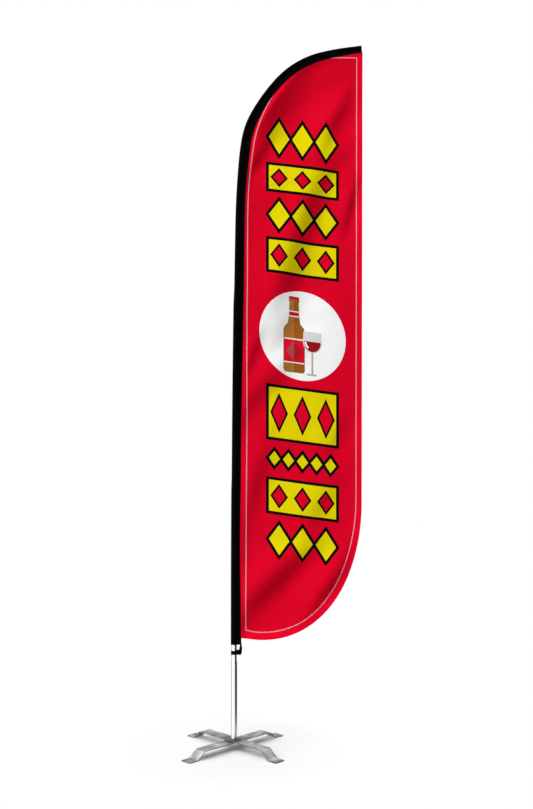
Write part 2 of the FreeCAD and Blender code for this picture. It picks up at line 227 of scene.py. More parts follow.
def weave(nodes, links, pitch):
    """Height of a plain weave whose threads run along X and Z."""
    vector = plain(nodes, links)
    bands = []
    for direction in ("X", "Z"):
        wave = nodes.new("ShaderNodeTexWave")
        wave.bands_direction = direction
        wave.inputs["Scale"].default_value = 0.314 / pitch    # one band to each pitch
        wave.inputs["Distortion"].default_value = 0.4
        wave.inputs["Detail"].default_value = 1.0
        links.new(vector, wave.inputs["Vector"])
        bands.append(wave.outputs["Fac"])
    return combine(nodes, links, "MULTIPLY", *bands)


def shade(color, factor):
    return tuple(min(c * factor, 1.0) for c in color)


def paint(nodes, links, shader, value, dark, light):
    """Gives the shader a colour between two, by value."""
    links.new(tint(nodes, links, value, dark, light), shader.inputs["Base Color"])


def polish(nodes, links, shader, value, low, high, smoother, rougher):
    """Gives the shader a roughness between two, as value goes from low to high."""
    links.new(ramp(nodes, links, value, low, high, smoother, rougher), shader.inputs["Roughness"])


def cloth_material(name, color, pitch=0.0011, rough=0.75):
    """Dyed cloth: fine weave, faint uneven colour, and painted shade where the weave dips."""
    material, nodes, links, shader = new_material(name)
    cloudy = noise_node(nodes, links, plain(nodes, links), 7.0)
    thread = weave(nodes, links, pitch)
    # The colour follows the weave too: painted shade where its threads dip.
    mixed = weighted(nodes, links, cloudy, 0.7, thread, 0.5)
    paint(nodes, links, shader, mixed, shade(color, 0.90), shade(color, 1.06))
    polish(nodes, links, shader, cloudy, 0.3, 0.7, rough - 0.06, rough + 0.06)
    bump(nodes, links, thread, 0.25, 0.0003, shader)
    shader.inputs["Specular IOR Level"].default_value = 0.02
    return material


def webbing_material(name, color, pitch=0.0022):
    """Ribbed webbing, or sewing thread at a fine pitch."""
    material, nodes, links, shader = new_material(name)
    thread = weave(nodes, links, pitch)
    fuzz = noise_node(nodes, links, plain(nodes, links), 180.0, 3.0)
    # The colour follows the weave's relief: painted shade in its grooves, painted highlight on its ribs.
    paint(nodes, links, shader, thread, shade(color, 0.6), shade(color, 1.6))
    polish(nodes, links, shader, fuzz, 0.2, 0.8, 0.6, 0.85)
    bump(nodes, links, thread, 0.6, 0.0006, shader)
    shader.inputs["Specular IOR Level"].default_value = 0.05
    return material


def brushed_material(name, dark, light, turn, rough=(0.28, 0.5)):
    """Plated steel: scratches along X once turned, grey clouds, small stains."""
    material, nodes, links, shader = new_material(name)
    streaks = noise_node(nodes, links, mapped(nodes, links, (6, 260, 6), turn), 1.0, 6.0)
    clouds = noise_node(nodes, links, plain(nodes, links), 16.0, 6.0)
    specks = noise_node(nodes, links, plain(nodes, links), 240.0, 2.0)
    mixed = weighted(nodes, links, streaks, 0.45, clouds, 0.55)
    paint(nodes, links, shader, ramp(nodes, links, mixed, 0.37, 0.63, 0, 1), dark, light)
    worn = weighted(nodes, links, clouds, 0.7, specks, 0.3)
    polish(nodes, links, shader, worn, 0.35, 0.65, *rough)
    bump(nodes, links, streaks, 0.12, 0.0004, shader)
    shader.inputs["Metallic"].default_value = 1.0
    return material


def bar_material(name, turn):
    """Zinc plated flat bar: brushed faces, with painted shade on the upright edges and near the hub and
    toes.
    """
    material = brushed_material(name, (0.26, 0.25, 0.24), (0.78, 0.77, 0.75), turn, (0.34, 0.55))
    nodes, links = material.node_tree.nodes, material.node_tree.links
    shader = nodes["Principled BSDF"]
    brushed = shader.inputs["Base Color"].links[0].from_socket
    uneven = noise_node(nodes, links, plain(nodes, links), 28.0, 5.0)
    reach = weighted(nodes, links, from_origin(nodes, links), 1.0, uneven, 0.09)
    # Painted shade: the bars are darkened round the crossing and at the toes, where shade falls.
    hub_painted_shade = ramp(nodes, links, reach, 0.085, 0.19, 0.75, 0.0)
    toe_painted_shade = ramp(nodes, links, reach, 0.375, 0.44, 0.0, 0.65)
    facing = nodes.new("ShaderNodeNewGeometry")
    normal = nodes.new("ShaderNodeSeparateXYZ")
    links.new(facing.outputs["True Normal"], normal.inputs["Vector"])
    upright = combine(nodes, links, "ABSOLUTE", normal.outputs["Z"], 0.0)
    # Painted shade: faces that stand upright, the sheared edges, are darkened.
    edge_painted_shade = ramp(nodes, links, upright, 0.2, 0.5, 0.8, 0.0)
    end_painted_shade = combine(nodes, links, "MAXIMUM", hub_painted_shade, toe_painted_shade)
    # Mixes the painted shade's near black into the brushed colour.
    darken = nodes.new("ShaderNodeMix")
    darken.data_type = "RGBA"
    darken.inputs["B"].default_value = (0.055, 0.052, 0.050, 1)
    links.new(combine(nodes, links, "MAXIMUM", end_painted_shade, edge_painted_shade), darken.inputs["Factor"])
    links.new(brushed, darken.inputs["A"])
    links.new(darken.outputs["Result"], shader.inputs["Base Color"])
    return material


def drawn_tube_material(name, color, rough=(0.12, 0.24)):
    """Polished drawn tube: faint lines along it, handling smudges."""
    material, nodes, links, shader = new_material(name)
    lines = noise_node(nodes, links, mapped(nodes, links, (500, 500, 4)), 1.0, 4.0)
    smudges = noise_node(nodes, links, mapped(nodes, links, (1, 1, 0.6)), 22.0, 5.0)
    paint(nodes, links, shader, lines, shade(color, 0.93), color)
    polish(nodes, links, shader, smudges, 0.35, 0.7, *rough)
    bump(nodes, links, lines, 0.05, 0.0002, shader)
    shader.inputs["Metallic"].default_value = 1.0
    return material


def moulded_material(name, color, rough=0.45, grain=900.0):
    """Moulded plastic or rubber with a fine grain."""
    material, nodes, links, shader = new_material(name)
    grain_value = noise_node(nodes, links, plain(nodes, links), grain, 2.0)
    cloudy = noise_node(nodes, links, plain(nodes, links), 30.0)
    paint(nodes, links, shader, cloudy, shade(color, 0.85), shade(color, 1.15))
    polish(nodes, links, shader, cloudy, 0.3, 0.7, rough - 0.08, rough + 0.08)
    bump(nodes, links, grain_value, 0.15, 0.0002, shader)
    return material


def painted_material(name, color):
    """Satin paint over steel, rubbed grey in places."""
    material, nodes, links, shader = new_material(name)
    rubs = noise_node(nodes, links, plain(nodes, links), 45.0, 6.0)
    worn = ramp(nodes, links, rubs, 0.45, 0.75, 0, 1)
    paint(nodes, links, shader, worn, color, (0.2, 0.2, 0.19))
    polish(nodes, links, shader, rubs, 0.3, 0.7, 0.35, 0.6)
    bump(nodes, links, rubs, 0.1, 0.0003, shader)
    return material


# --- mesh helpers ---
def new_piece(name, verts, faces, materials, slots=None):
    mesh = bpy.data.meshes.new(name)
    mesh.from_pydata([tuple(v) for v in verts], [], [tuple(f) for f in faces])
    for material in materials:
        mesh.materials.append(material)
    if slots is not None:
        mesh.polygons.foreach_set("material_index", slots)
    mesh.polygons.foreach_set("use_smooth", [True] * len(mesh.polygons))
    mesh.update()
    piece = bpy.data.objects.new(name, mesh)
    bpy.context.scene.collection.objects.link(piece)
    return piece


def grid_faces(count, wide):
    """Four-sided faces over count points that lie in rows of wide."""
    return [(a + j, a + j + 1, a + j + 1 + wide, a + j + wide)
            for a in range(0, count - wide, wide) for j in range(wide - 1)]


def inside(points, polygon):
    """Which points lie inside the polygon, by the even-odd rule."""
    x, z = points[:, 0], points[:, 1]
    result = np.zeros(len(points), bool)
    for (xa, za), (xb, zb) in zip(polygon, polygon[1:] + polygon[:1]):
        if za == zb:
            continue
        crosses = (za > z) != (zb > z)
        result ^= crosses & (x < (xb - xa) * (z - za) / (zb - za) + xa)
    return result


def grow(polygon, distance):
    """The polygon moved outwards by distance, with mitred corners that are cut short if sharp."""
    area = sum(a[0] * b[1] - b[0] * a[1] for a, b in zip(polygon, polygon[1:] + polygon[:1]))
    side = 1 if area > 0 else -1
    result = []
    for before, here, after in zip(polygon[-1:] + polygon[:-1], polygon, polygon[1:] + polygon[:1]):
        a = (Vector(here) - Vector(before)).normalized()
        b = (Vector(after) - Vector(here)).normalized()
        na, nb = Vector((a.y, -a.x)) * side, Vector((b.y, -b.x)) * side
        middle = (na + nb).normalized()
        reach = distance / max(middle.dot(na), 0.42)
        result.append(tuple(Vector(here) + middle * reach))
    return result


def densify(polygon, step):
    """The polygon with points added about a step apart."""
    points = []
    for a, b in zip(polygon, polygon[1:] + polygon[:1]):
        count = max(1, round((Vector(b) - Vector(a)).length / step))
        points += [tuple(Vector(a).lerp(Vector(b), k / count)) for k in range(count)]
    return points


# --- the print: plain ornaments, a bottle and a glass ---
ART_X, ART_WIDE = 0.401, 0.394
ART_SLANT = -0.135                 # the print's rows run down to the right
OUTLINE = 0.017                    # black border of a block and of a lozenge by itself
ON_BLOCK_WIDE, ON_BLOCK_HIGH = 0.76, 0.80    # a lozenge's shares of its place on a block
ON_BLOCK_OUTLINE = 0.012
LOZENGE = [(-0.5, 0), (0, 0.5), (0.5, 0), (0, -0.5)]
BLOCK = [(-0.5, -0.5), (0.5, -0.5), (0.5, 0.5), (-0.5, 0.5)]
ROWS = [                           # lozenges side by side, Z of their middle, height, on a block
    (3, 3.560, 0.190, False), (3, 3.323, 0.142, True), (3, 3.103, 0.165, False),
    (3, 2.866, 0.177, True), (3, 1.946, 0.294, True), (5, 1.676, 0.085, False),
    (3, 1.456, 0.183, True), (3, 1.201, 0.175, False),
]
DISC_Z, DISC_WIDE, DISC_HIGH = 2.414, 0.506, 0.523
BOTTLE_X, BOTTLE_FOOT, BOTTLE_HIGH = 0.352, 2.197, 0.440
BODY_R, NECK_R = 0.060, 0.0245
GLASS_X, GLASS_RIM, GLASS_R = 0.459, 2.444, 0.055


def slanted(points):
    """The points sheared as the whole print is."""
    return [(x, z + ART_SLANT * (x - ART_X)) for x, z in points]


def sized(shape, x, z, wide, high):
    return [(x + u * wide, z + v * high) for u, v in shape]


def arc_points(x, z, rx, rz, first, last, count):
    """Points on an ellipse between two angles in degrees."""
    angles = [math.radians(first + (last - first) * k / count) for k in range(count + 1)]
    return [(x + rx * math.cos(a), z + rz * math.sin(a)) for a in angles]


def bottle_side():
    """Right side of a beer bottle, from its foot up."""
    steps = [(0.00, BODY_R * 0.86), (0.03, BODY_R), (0.545, BODY_R), (0.590, BODY_R * 0.92),
             (0.645, NECK_R * 1.38), (0.76, NECK_R * 1.12), (0.93, NECK_R), (0.94, NECK_R * 1.12),
             (1.00, NECK_R * 1.12)]
    return [(BOTTLE_X + r, BOTTLE_FOOT + t * BOTTLE_HIGH) for t, r in steps]


def bottle_outline(margin=0.0):
    side = bottle_side()
    outline = side + [(2 * BOTTLE_X - x, z) for x, z in side[::-1]]
    return grow(outline, margin) if margin else outline


def box_outline(x, low, high, half):
    """Box across the bottle or the glass, between two heights along the bottle, 0 to 1."""
    bottom, top = BOTTLE_FOOT + low * BOTTLE_HIGH, BOTTLE_FOOT + high * BOTTLE_HIGH
    return [(x - half, bottom), (x + half, bottom), (x + half, top), (x - half, top)]


def glass_bowl(level, margin=0.0):
    """Bowl of the glass up to a level, 1 at the rim."""
    deep = 0.123
    bottom = GLASS_RIM - deep
    r = GLASS_R - margin
    top = bottom + deep * level - margin * 0.2
    cup = arc_points(GLASS_X, bottom + 0.062, r, 0.062 - margin, 180, 360, 16)
    return [(GLASS_X - r * 0.95, top)] + cup + [(GLASS_X + r * 0.95, top)]


def glass_glint():
    """Crescent of light low on the left of the wine."""
    middle = GLASS_RIM - 0.056
    outer = arc_points(GLASS_X, middle, 0.047, 0.053, 186, 236, 6)
    return outer + arc_points(GLASS_X, middle, 0.037, 0.040, 186, 236, 6)[::-1]


def ornament_rows():
    """Rows of lozenges: yellow ones that touch, or red ones on a yellow block."""
    art = []
    for count, z, high, on_block in ROWS:
        pitch = (ART_WIDE + OUTLINE) / count
        middles = [ART_X + pitch * (k - (count - 1) / 2) for k in range(count)]
        if on_block:
            block = slanted(sized(BLOCK, ART_X, z, ART_WIDE, high))
            size = (pitch * ON_BLOCK_WIDE, high * ON_BLOCK_HIGH)
            lozenges = [slanted(sized(LOZENGE, x, z, *size)) for x in middles]
            art += [("black", grow(block, OUTLINE)), ("yellow", block)]
            art += [("black", p) for p in lozenges]
            art += [("red", grow(p, -ON_BLOCK_OUTLINE)) for p in lozenges]
        else:
            lozenges = [slanted(sized(LOZENGE, x, z, pitch - OUTLINE, high)) for x in middles]
            art += [("black", grow(p, OUTLINE)) for p in lozenges] + [("yellow", p) for p in lozenges]
    return art


def drinks_picture():
    """Bottle with a blank label and a glass of wine, before they're slanted."""
    half_bottle = [(BOTTLE_X, z) for z in (BOTTLE_FOOT + BOTTLE_HIGH, BOTTLE_FOOT)] + bottle_side()
    label_z = BOTTLE_FOOT + 0.282 * BOTTLE_HIGH
    diamond = sized(LOZENGE, BOTTLE_X, label_z, BODY_R * 1.56, 0.29 * BOTTLE_HIGH)
    bottle = [("edge_brown", bottle_outline(0.0025)), ("brown", bottle_outline()),
              ("dark_brown", half_bottle),
              ("white", box_outline(BOTTLE_X, 0.118, 0.447, BODY_R)),
              ("label", box_outline(BOTTLE_X, 0.133, 0.432, BODY_R)),
              ("dark_label", diamond), ("pale_label", [diamond[0], diamond[1], diamond[3]]),
              ("white", box_outline(BOTTLE_X, 0.735, 0.815, NECK_R * 1.14)),
              ("label", box_outline(BOTTLE_X, 0.750, 0.800, NECK_R * 1.14)),
              ("label", box_outline(BOTTLE_X, 0.965, 1.0, NECK_R * 1.12))]
    glass = [("grey", box_outline(GLASS_X, -0.020, 0.30, 0.0055)),
             ("grey", box_outline(GLASS_X - 0.004, -0.022, 0.002, 0.028)),
             ("pale_grey", glass_bowl(1.0)), ("wine", glass_bowl(0.55, 0.006)), ("white", glass_glint())]
    return bottle + glass


def artwork():
    """(colour, outline) pairs, each drawn over the ones before it."""
    disc = slanted(arc_points(ART_X, DISC_Z, DISC_WIDE / 2, DISC_HIGH / 2, 0, 355, 71))
    picture = [(name, slanted(polygon)) for name, polygon in drinks_picture()]
    return ornament_rows() + [("white", disc)] + picture


# --- folds of the panel ---
FOLDS = [  # x, z, slope in degrees, half length, half width of the dark side, spread, step
    (0.130, 3.440, 59, 0.14, 0.026, 0.085, 0.0150),
    (0.270, 3.780, 62, 0.27, 0.095, 0.220, 0.0420),
    (0.597, 3.665, 66, 0.17, 0.034, 0.120, 0.0130),
    (0.690, 3.181, 75, 0.17, 0.028, 0.100, 0.0150),
    (0.418, 3.053, 70, 0.40, 0.068, 0.170, 0.0310),
    (0.350, 2.740, 60, 0.19, 0.062, 0.160, 0.0180),
    (0.310, 2.480, 62, 0.22, 0.060, 0.160, 0.0160),
    (0.112, 2.290, 70, 0.16, 0.026, 0.085, 0.0120),
    (0.180, 2.100, 48, 0.24, 0.055, 0.150, 0.0185),
    (0.590, 1.790, 68, 0.16, 0.035, 0.120, 0.0090),
    (0.520, 1.420, 60, 0.22, 0.050, 0.150, 0.0120),
    (0.130, 1.500, 75, 0.38, 0.050, 0.140, 0.0150),
    (0.232, 0.951, 45, 0.34, 0.060, 0.150, 0.0350),
    (0.585, 0.955, 52, 0.19, 0.047, 0.130, 0.0220),
]


def fold_depth(x, z):
    """Y of the hanging cloth: it steps back on the lower right of each fold, for arrays of points."""
    y = np.zeros_like(x)
    for fx, fz, slope, length, half, spread, step in FOLDS:
        c, s = math.cos(math.radians(slope)), math.sin(math.radians(slope))
        along = (x - fx) * c + (z - fz) * s
        across = -(x - fx) * s + (z - fz) * c
        y -= step * np.tanh(across / half) * np.exp(-(across / spread) ** 2 - (along / length) ** 2)
    return y


def seam_distance(x, z):
    """Distance beyond the sleeve's seam, negative inside the sleeve, for arrays of points."""
    best, result = np.full_like(x, 9.0), np.zeros_like(x)
    for s in np.linspace(SEAM_FOOT, SLEEVE_TOP, 320):
        px, pz, _ = place(POLE, s)
        gap = np.hypot(x - px, z - pz)
        result = np.where(gap < best, gap - seam_reach(s), result)
        best = np.minimum(best, gap)
    return result


def smooth(t):
    t = np.clip(t, 0, 1)
    return t * t * (3 - 2 * t)


def shaped(x, z):
    """Y of the folds by themselves: nothing in the seam, less in the stiff hem."""
    stiff_hem = 0.35 + 0.65 * smooth(hem_distance(x, z) / HEM_STIFF)
    return fold_depth(x, z) * smooth(seam_distance(x, z) / SEAM_STIFF) * stiff_hem


def hem_distance(x, z):
    """Distance from the free edge, for arrays of points."""
    best = np.minimum(PANEL_SIDE_X - x, PANEL_HIGH[2] - z)
    for s in np.linspace(0, FOOT_END, 60):
        px, pz, _ = place(FOOT, s)
        best = np.minimum(best, np.hypot(x - px, z - pz))
    return best


def settle():
    """Hangs a coarse copy of the folded panel as cloth, and returns how its points moved in Y."""
    outline = panel_outline()[::3]
    flat, faces = filled(outline, [], COARSE)
    y = shaped(flat[:, 0], flat[:, 1])
    body = [(x, yy, z) for (x, z), yy in zip(flat.tolist(), y.tolist())]
    piece = new_piece("hanging", body, faces.tolist(), [])
    pinned = piece.vertex_groups.new(name="seam")
    near = np.flatnonzero(seam_distance(flat[:, 0], flat[:, 1]) < 0.02)
    pinned.add(near.tolist(), 1.0, "REPLACE")
    cloth = piece.modifiers.new("cloth", "CLOTH")
    settings = cloth.settings
    settings.vertex_group_mass = "seam"
    settings.quality = 8
    settings.mass = 0.0003
    settings.tension_stiffness = 12
    settings.compression_stiffness = 12
    settings.shear_stiffness = 4
    settings.bending_stiffness = 0.02
    settings.shrink_min = -0.012
    settings.air_damping = 2.0
    cloth.collision_settings.use_collision = False
    cloth.point_cache.frame_end = CLOTH_FRAMES
    for frame_number in range(1, CLOTH_FRAMES + 1):
        bpy.context.scene.frame_set(frame_number)
    evaluated = piece.evaluated_get(bpy.context.evaluated_depsgraph_get())
    moved = np.array([v.co[1] for v in evaluated.data.vertices]) - y
    bpy.context.scene.frame_set(1)
    bpy.data.objects.remove(piece)
    return flat, np.clip(moved, -SAG_CAP, SAG_CAP)


def panel_y(x, z):
    """The panel's middle surface: the folds, and what hanging adds to them."""
    if SETTLED is None:
        return shaped(x, z)
    flat, moved = SETTLED
    extra = np.zeros_like(x)
    for block in np.array_split(np.arange(len(x)), max(1, len(x) // 4000)):
        gap = (x[block, None] - flat[None, :, 0]) ** 2 + (z[block, None] - flat[None, :, 1]) ** 2
        weight = np.exp(-gap / (2 * (0.7 * COARSE) ** 2))
        extra[block] = (weight * moved).sum(1) / weight.sum(1)
    return shaped(x, z) + SAG_SHARE * extra * smooth(seam_distance(x, z) / SEAM_STIFF)


def straight(start, end):
    """Points about EDGE_STEP apart from start to end, without start itself."""
    (xa, za), (xb, zb) = start, end
    count = round(abs(zb - za) / EDGE_STEP)
    return [(xa + (xb - xa) * k / count, za + (zb - za) * k / count) for k in range(1, count + 1)]


def panel_outline():
    """Edge of the sheet, round the foot, up the free edge and down inside the sleeve's seam."""
    lowest = place(FOOT, FOOT_END)[1] + 0.008
    points = [place(POLE, s, seam_reach(s) - TUCK)[:2] for s in np.arange(lowest, SLEEVE_TOP, EDGE_STEP)]
    x, z, _ = place(POLE, SLEEVE_TOP - 0.004, seam_reach(SLEEVE_TOP) - 0.002)
    top = (PANEL_HIGH[0], z + 0.003)
    points += [(x, z), top] + straight(top, (PANEL_SIDE_X, PANEL_SIDE_Z))[:-1]
    count = round(FOOT_END / EDGE_STEP)
    points += [place(FOOT, s)[:2] for s in np.linspace(0, FOOT_END, count + 1)]
    return points[::-1]


PRINT_COLOURS = {
    # The hem's red is the same dye made brighter: painted light on the flat doubled hem.
    "red": (0.69, 0.0009, 0.0180), "hem_painted_light_red": (0.86, 0.0011, 0.024),
    "black": (0.003, 0.003, 0.003), "yellow": (0.77, 0.65, 0.001), "white": (0.93, 0.93, 0.92),
    "brown": (0.42, 0.17, 0.030), "dark_brown": (0.32, 0.100, 0.010),
    "edge_brown": (0.07, 0.022, 0.008), "label": (0.68, 0.006, 0.022),
    "pale_label": (0.42, 0.055, 0.070), "dark_label": (0.44, 0.008, 0.022),
    "grey": (0.42, 0.41, 0.41), "pale_grey": (0.66, 0.66, 0.66), "wine": (0.30, 0.008, 0.012),
}


def filled(outline, inner, spacing):
    """Triangles over an outline that keep the inner polygons' edges, with inner points between."""
    verts, edges = [], []
    for polygon in [outline] + inner:
        start, count = len(verts), len(polygon)
        verts += polygon
        edges += [(start + k, start + (k + 1) % count) for k in range(count)]
    fixed = np.array(verts)
    low_x, low_z = fixed.min(0)
    wide, high = np.ptp(fixed, axis=0)
    row = spacing * 0.87               # rows this far apart make even triangles
    grid = np.array([(low_x + (i + 0.5 * (j % 2)) * spacing, low_z + j * row)
                     for j in range(int(high / row) + 1) for i in range(int(wide / spacing) + 1)])
    grid = grid[inside(grid, outline)]
    keep = np.ones(len(grid), bool)
    for block in np.array_split(fixed, 24):    # in blocks, to spare memory
        gap = np.hypot(grid[:, None, 0] - block[None, :, 0], grid[:, None, 1] - block[None, :, 1])
        keep &= gap.min(1) > spacing * 0.45
    points = [Vector(v) for v in verts] + [Vector(p) for p in grid[keep].tolist()]
    flat, _, faces, _, _, _ = geometry.delaunay_2d_cdt(points, edges, [], 0, 1e-6)
    flat = np.array([tuple(v) for v in flat])
    faces = np.array(faces)
    return flat, faces[inside(flat[faces].mean(1), outline)]


def sheet_piece(name, flat, faces, y, materials, slots=None):
    """A thickened sheet over flat (x, z) points, with loose points left out."""
    used = np.unique(faces)
    place_of = np.zeros(len(flat), int)
    place_of[used] = np.arange(len(used))
    body = np.stack([flat[used, 0], y[used], flat[used, 1]], 1)
    piece = new_piece(name, body.tolist(), place_of[faces].tolist(), materials, slots)
    tidy = bmesh.new()
    tidy.from_mesh(piece.data)
    bmesh.ops.recalc_face_normals(tidy, faces=tidy.faces)
    tidy.to_mesh(piece.data)
    tidy.free()
    thicken(piece, CLOTH)
    return piece


def flag_panel(materials):
    """Printed sheet, whose triangles follow the print's outlines, and its turned hem at the back."""
    outline = panel_outline()
    turned = turned_outline()
    art = [(name, densify(polygon, 0.02)) for name, polygon in artwork()]
    beside = along_seam(STITCH_FOOT, STITCH_UNDER, -2 * TUCK, lambda s: seam_gap(s) + HEM_PAST_STITCH)
    sewn = along_seam(SEAM_FOOT, SLEEVE_TOP, -3 * TUCK, lambda s: 0.002)
    flat, faces = filled(outline, [turned, beside, sewn] + [p for _, p in art], GRID)
    centres = flat[faces].mean(1)
    names = list(PRINT_COLOURS)
    slots = np.zeros(len(faces), int)
    for name, polygon in art:
        slots[inside(centres, polygon)] = names.index(name)
    doubled = ~inside(centres, turned)
    # The doubled hem is given the brighter red: painted light.
    slots[doubled & ~inside(centres, beside)] = names.index("hem_painted_light_red")
    y = panel_y(flat[:, 0], flat[:, 1])
    panel = sheet_piece("flag_panel_cloth", flat, faces, y, materials, slots.tolist())
    rim = doubled & ~inside(centres, sewn)
    hem = sheet_piece("turned_hem", flat, faces[rim], y + HEM_BACK, materials[:1])
    return panel, hem


def thicken(piece, thickness):
    """Gives a sheet its thickness, half to each side, and applies it."""
    modifier = piece.modifiers.new("thickness", "SOLIDIFY")
    modifier.thickness = thickness
    modifier.offset = 0
    bpy.context.view_layer.objects.active = piece
    with bpy.context.temp_override(object=piece, active_object=piece):
        bpy.ops.object.modifier_apply(modifier=modifier.name)
    piece.data.set_sharp_from_angle(angle=math.radians(50))


# --- stitching ---
def stitch_mesh(name, stitches, material, wide, high):
    """One small thread per (start, end, outward) triple, square and fattest in its middle."""
    rings, sides, corner = [(0.0, 0.35), (0.5, 1.0), (1.0, 0.35)], 4, 0.62
    verts, faces = [], []
    for start, end, out in stitches:
        along = end - start
        across = along.normalized().cross(out)
        base = len(verts)
        for t, fat in rings:
            for k in range(sides):
                a = 2 * math.pi * (k + 0.5) / sides
                verts.append(start + along * t + across * (math.cos(a) * wide * fat * corner)
                             + out * (math.sin(a) * high * fat * corner))
        for r in range(len(rings) - 1):
            for k in range(sides):
                p, q = base + r * sides + k, base + r * sides + (k + 1) % sides
                faces.append((p, q, q + sides, p + sides))
        faces.append([base + k for k in range(sides - 1, -1, -1)])
        faces.append([base + (len(rings) - 1) * sides + k for k in range(sides)])
    return new_piece(name, verts, faces, [material])


def seam_gap(s):
    """From the seam to the side stitching, which runs under the sleeve at the shoulder."""
    return blend_table(s, [(0.69, 0.028), (1.16, 0.0355), (1.75, 0.034), (2.70, 0.020),
                           (3.27, 0.016), (3.60, 0.018), (4.00, -UNDER_SLEEVE)])


def hem_runs():
    """Hem stitching: down beside the sleeve, round the foot and up the free edge, along the top."""
    top_z = PANEL_HIGH[2] - HEM_TOP
    stations = np.arange(STITCH_FOOT, STITCH_UNDER, 0.004)
    side = [place(POLE, s, seam_reach(s) + seam_gap(s))[:2] for s in stations]
    corner = side[0]
    edge = [corner]
    for t in np.linspace(1, 0, 161):
        x, z, _ = place(FOOT, FOOT_END * t, HEM_SIDE + (HEM_FOOT - HEM_SIDE) * min(t * 2.5, 1.0))
        if x > corner[0] + 0.008:
            edge.append((x, z))
    high_x = PANEL_HIGH[0] - HEM_SIDE
    edge += straight((PANEL_SIDE_X - HEM_SIDE, PANEL_SIDE_Z), (high_x, top_z))
    x = high_x - 0.01 * np.arange(40)
    under = seam_distance(x, np.full_like(x, top_z)) < -UNDER_SLEEVE
    top = [(xx, top_z) for xx in x[:np.argmax(under)].tolist()]
    return side[::-1], edge, top


def thinned(run):
    """Every third point of a run, and its last."""
    return run[:-1:3] + run[-1:]


def turned_outline():
    """Inner edge of the turned hem, closed along the sleeve's shoulder."""
    side, edge, top = hem_runs()
    line = thinned(side)[:-1] + thinned(edge) + thinned(top)[1:]
    stations = np.arange(STITCH_UNDER + 0.01, SLEEVE_TOP, 0.01)
    shoulder = [place(POLE, s, seam_reach(s) - UNDER_SLEEVE)[:2] for s in stations]
    shoulder = [p for p in shoulder if p[0] < top[-1][0] - 0.004 and p[1] < top[-1][1] - 0.001]
    return grow(line + shoulder[::-1], -HEM_PAST_STITCH)


def along_seam(first, last, inner, outer):
    """Closed strip along the sleeve's seam, from inner to outer(station) beyond it."""
    stations = np.arange(first, last, 0.02)
    left = [place(POLE, s, seam_reach(s) + inner)[:2] for s in stations]
    return left + [place(POLE, s, seam_reach(s) + outer(s))[:2] for s in stations[::-1]]


def along_line(points, step):
    """Evenly spaced points on a polyline, about a step apart, from its first point to its last."""
    line = np.array(points)
    lengths = np.hypot(*(line[1:] - line[:-1]).T)
    total = np.concatenate([[0], np.cumsum(lengths)])
    stations = np.linspace(0, total[-1], round(total[-1] / step))
    return np.interp(stations, total, line[:, 0]), np.interp(stations, total, line[:, 1])


def surface_of(pieces):
    """Search tree over the pieces' faces."""
    verts, faces = [], []
    for piece in pieces:
        start = len(verts)
        verts += [v.co.copy() for v in piece.data.vertices]
        faces += [[start + v for v in face.vertices] for face in piece.data.polygons]
    return BVHTree.FromPolygons(verts, faces)


def on_surface(tree, x, z, face):
    """Points just proud of the cloth's front (face -1) or back (face 1)."""
    points = []
    for px, pz in zip(x.tolist(), z.tolist()):
        hit = tree.ray_cast(Vector((px, face, pz)), Vector((0, -face, 0)))[0]
        points.append(hit + Vector((0, face * STITCH_LIFT, 0)))
    return points


def hem_stitching(material, cloth_pieces):
    """Cover stitch: two rows of thread on both faces, with a zigzag between them on the front."""
    step, half = 0.0038, 0.0017
    tree = surface_of(cloth_pieces)
    stitches = []
    for run in hem_runs():
        x, z = along_line(run, step)
        dx, dz = np.gradient(x), np.gradient(z)
        size = np.hypot(dx, dz)
        nx, nz = -dz / size * half, dx / size * half
        for face in (-1, 1):
            out = Vector((0, face, 0))
            rows = [on_surface(tree, x + nx * side, z + nz * side, face) for side in (-1, 1)]
            for row in rows:
                stitches += [(a.lerp(b, 0.04), a.lerp(b, 0.96), out) for a, b in zip(row, row[1:])]
            if face < 0:
                stitches += [(rows[k % 2][k], rows[(k + 1) % 2][k + 1], out) for k in range(len(x) - 1)]
    return stitch_mesh("hem_stitching", stitches, material, 0.0018, 0.0009)


# --- sleeve ---
def sleeve_section(s):
    """Half of the sleeve's section, from the pole's far side to the seam: (right, y) pairs."""
    r, reach = pocket_radius(s), seam_reach(s)
    flat = 0.0011                      # y where the two faces of the strip are sewn
    meet = min(r * 2.05, reach - 0.006)    # from here the two walls lie together
    lean = math.acos(min((r - flat) / meet, 1.0))
    points = []
    for k in range(17):
        a = math.pi - (math.pi - lean) * k / 16
        points.append((r * math.cos(a), r * math.sin(a)))
    tx, ty = points[-1]
    for k in range(1, 5):
        t = k / 4
        sag = math.sin(math.pi * t) * 0.0006
        points.append((tx + (meet - tx) * t, ty + (flat - ty) * t - sag))
    for k in range(1, 4):
        points.append((meet + (reach - meet) * k / 3, flat))
    return points


def closing(s):
    """How far open the sleeve still is, 1 along the pole and nearly flat at its end."""
    return min(1.0, (SLEEVE_END - s) / 0.004 + 0.12)


def sleeve_half(s, d):
    """Half the thickness of the sleeve, d to the right of the pole's axis."""
    across, thick = zip(*sleeve_section(s))
    y = float(np.interp(d, across, thick))
    return max(y * closing(s), min(y, LEAST_GAP))


